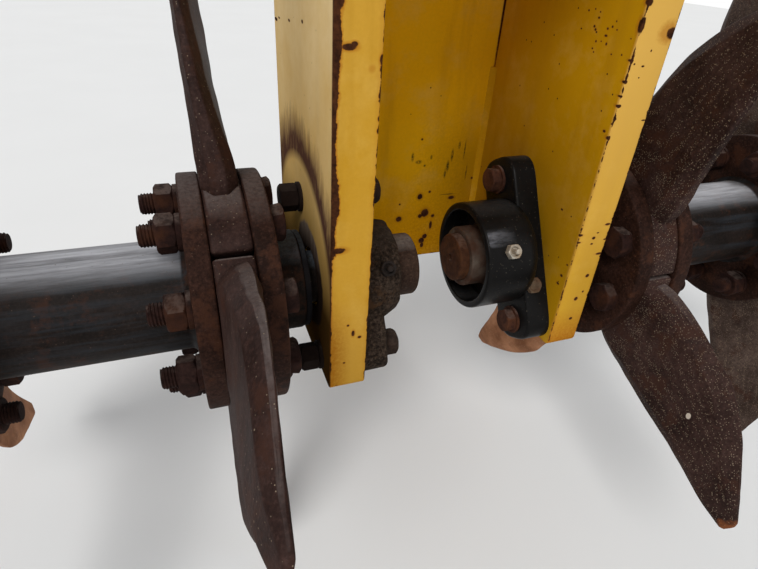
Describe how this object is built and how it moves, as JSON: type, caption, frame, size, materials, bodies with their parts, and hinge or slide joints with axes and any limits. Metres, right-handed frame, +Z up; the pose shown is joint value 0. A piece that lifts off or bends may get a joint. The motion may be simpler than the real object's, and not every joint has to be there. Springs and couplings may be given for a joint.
{
  "type": "soil aerator centre hanger with tined rotors",
  "caption": "Welded yellow hanger with flange bearings that carries a rotor of curved tines, flanged spool and stub shafts on each side, from a towed soil aerator.",
  "frame": {"origin": "centre of the hanger's top face, which bolts up under the machine's frame", "axes": "+X along the rotors' shafts to the right, +Y to the rear, +Z up"},
  "size_m": [1.2943, 0.6356, 0.7378],
  "materials": {
    "yellow_paint": "chipped and rusted",
    "weathered_housing": "dusty brown-grey",
    "black_housing": "gloss black, dusty",
    "bearing_steel": "rust-stained",
    "rusty_collar": "rusted",
    "nipple_steel": "dull zinc",
    "rusty_bolts": "dark rust",
    "cast_tines": "dark red-brown, worn",
    "black_guard": "worn black",
    "blue_black_paint": "rubbed blue-black over rust",
    "rusty_stub": "rust over old paint"
  },
  "bodies": {
    "hanger": {"side_plate_left": "yellow_paint", "side_plate_right": "yellow_paint", "back_plate": "yellow_paint", "top_plate": "yellow_paint", "bearing_housing_left": "weathered_housing", "bearing_housing_right": "black_housing", "bearing_race_left": "bearing_steel", "bearing_race_right": "bearing_steel", "bearing_bolts_left": "rusty_bolts", "bearing_bolts_right": "rusty_bolts", "grease_nipple_left": "nipple_steel", "grease_nipple_right": "nipple_steel", "bearing_plug_right": "nipple_steel"},
    "rotor_left": {"inner_stub_left": "rusty_stub", "bearing_collar_left": "rusty_collar", "wrap_guard_left": "black_guard", "rotor_flanges_left": "cast_tines", "rotor_tube_left": "blue_black_paint", "outer_stub_left": "rusty_stub", "tine_bolts_left_1": "rusty_bolts", "tine_bolts_left_2": "rusty_bolts", "tine_left_1_1": "cast_tines", "tine_left_1_2": "cast_tines", "tine_left_1_3": "cast_tines", "tine_left_1_4": "cast_tines", "tine_left_2_1": "cast_tines", "tine_left_2_2": "cast_tines", "tine_left_2_3": "cast_tines", "tine_left_2_4": "cast_tines"},
    "rotor_right": {"inner_stub_right": "rusty_stub", "bearing_collar_right": "bearing_steel", "wrap_guard_right": "black_guard", "rotor_flanges_right": "cast_tines", "rotor_tube_right": "blue_black_paint", "outer_stub_right": "rusty_stub", "tine_bolts_right_1": "rusty_bolts", "tine_bolts_right_2": "rusty_bolts", "tine_right_1_1": "cast_tines", "tine_right_1_2": "cast_tines", "tine_right_1_3": "cast_tines", "tine_right_1_4": "cast_tines", "tine_right_2_1": "cast_tines", "tine_right_2_2": "cast_tines", "tine_right_2_3": "cast_tines", "tine_right_2_4": "cast_tines"}
  },
  "joints": [
    {"name": "rotor_left_spin", "type": "hinge", "parent": "hanger", "child": "rotor_left", "pos_m": [0, -0.0315, -0.42], "axis": [1, 0, 0], "continuous": true},
    {"name": "rotor_right_spin", "type": "hinge", "parent": "hanger", "child": "rotor_right", "pos_m": [0, -0.0315, -0.42], "axis": [1, 0, 0], "continuous": true}
  ]
}
